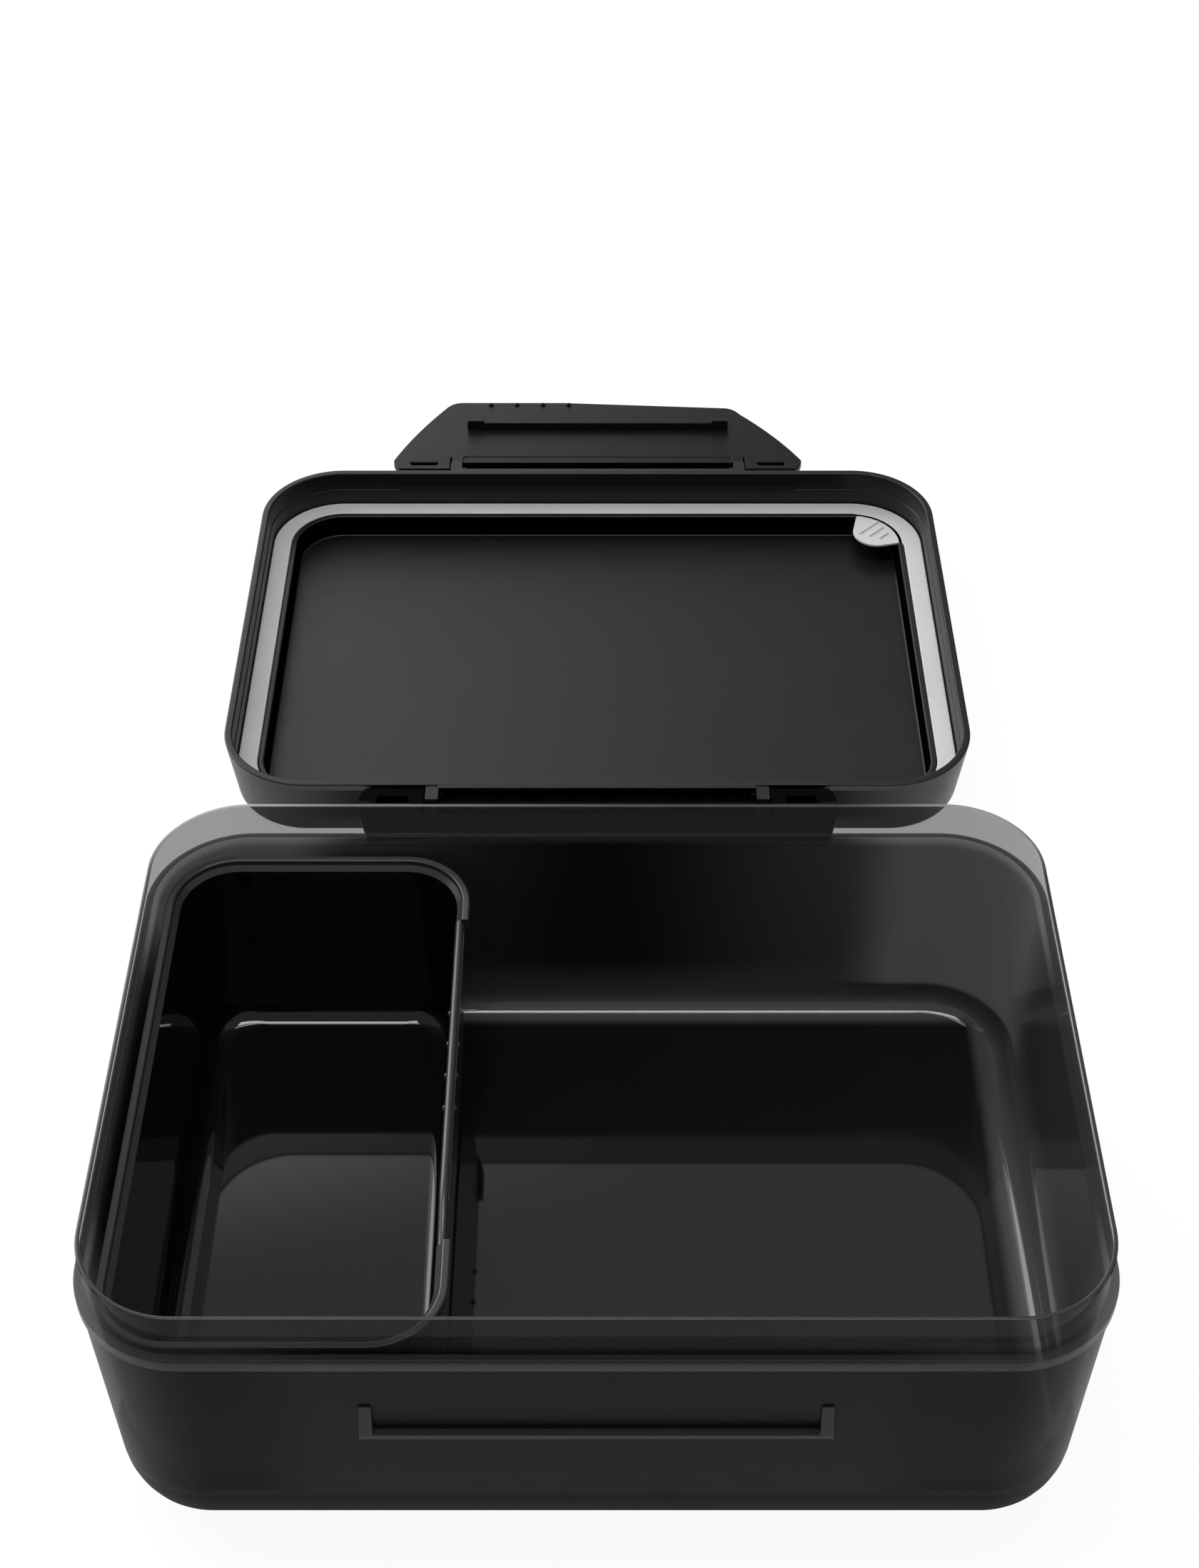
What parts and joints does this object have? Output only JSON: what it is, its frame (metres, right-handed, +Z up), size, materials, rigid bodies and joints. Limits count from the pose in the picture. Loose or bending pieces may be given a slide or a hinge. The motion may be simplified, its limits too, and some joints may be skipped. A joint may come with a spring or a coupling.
{
  "type": "lunch box",
  "caption": "Lunch box with a deep rounded tub, a removable tray inside, and a lift-off lid with a pull-out silicone seal and hinged side clips.",
  "frame": {"origin": "centre of the tub's flat underside", "axes": "+X to the right along the tub's long side, +Y from the tub towards the lid that lies behind it, +Z up"},
  "size_m": [0.2278, 0.4623, 0.089],
  "materials": {
    "tub_plastic": "satin, slightly translucent where thin",
    "lid_plastic": "satin",
    "clip_plastic": "satin",
    "tray_plastic": "gloss",
    "seal_silicone": "matt"
  },
  "bodies": {
    "tub": {"tub": "tub_plastic"},
    "lid": {"lid_shell": "lid_plastic"},
    "front_clip": {"front_clip": "clip_plastic"},
    "rear_clip": {"rear_clip": "clip_plastic"},
    "insert": {"insert_tray": "tray_plastic"},
    "seal": {"seal_ring": "seal_silicone"}
  },
  "joints": [
    {"name": "lid_turn_over", "type": "hinge", "parent": "tub", "child": "lid", "pos_m": [0, 0.12065, 0.0494], "axis": [1, 0, 0], "range_deg": [0, 180]},
    {"name": "front_clip_hinge", "type": "hinge", "parent": "lid", "child": "front_clip", "pos_m": [0, 0.3255, 0.0191], "axis": [1, 0, 0], "range_deg": [0, 100.5]},
    {"name": "rear_clip_hinge", "type": "hinge", "parent": "lid", "child": "rear_clip", "pos_m": [0, 0.1571, 0.0191], "axis": [-1, 0, 0], "range_deg": [0, 100.5]},
    {"name": "tray_lift", "type": "slide", "parent": "tub", "child": "insert", "axis": [0, 0, -1], "range_m": [-0.09, 0]},
    {"name": "seal_pull", "type": "slide", "parent": "lid", "child": "seal", "axis": [0, 0, -1], "range_m": [-0.03, 0]}
  ]
}
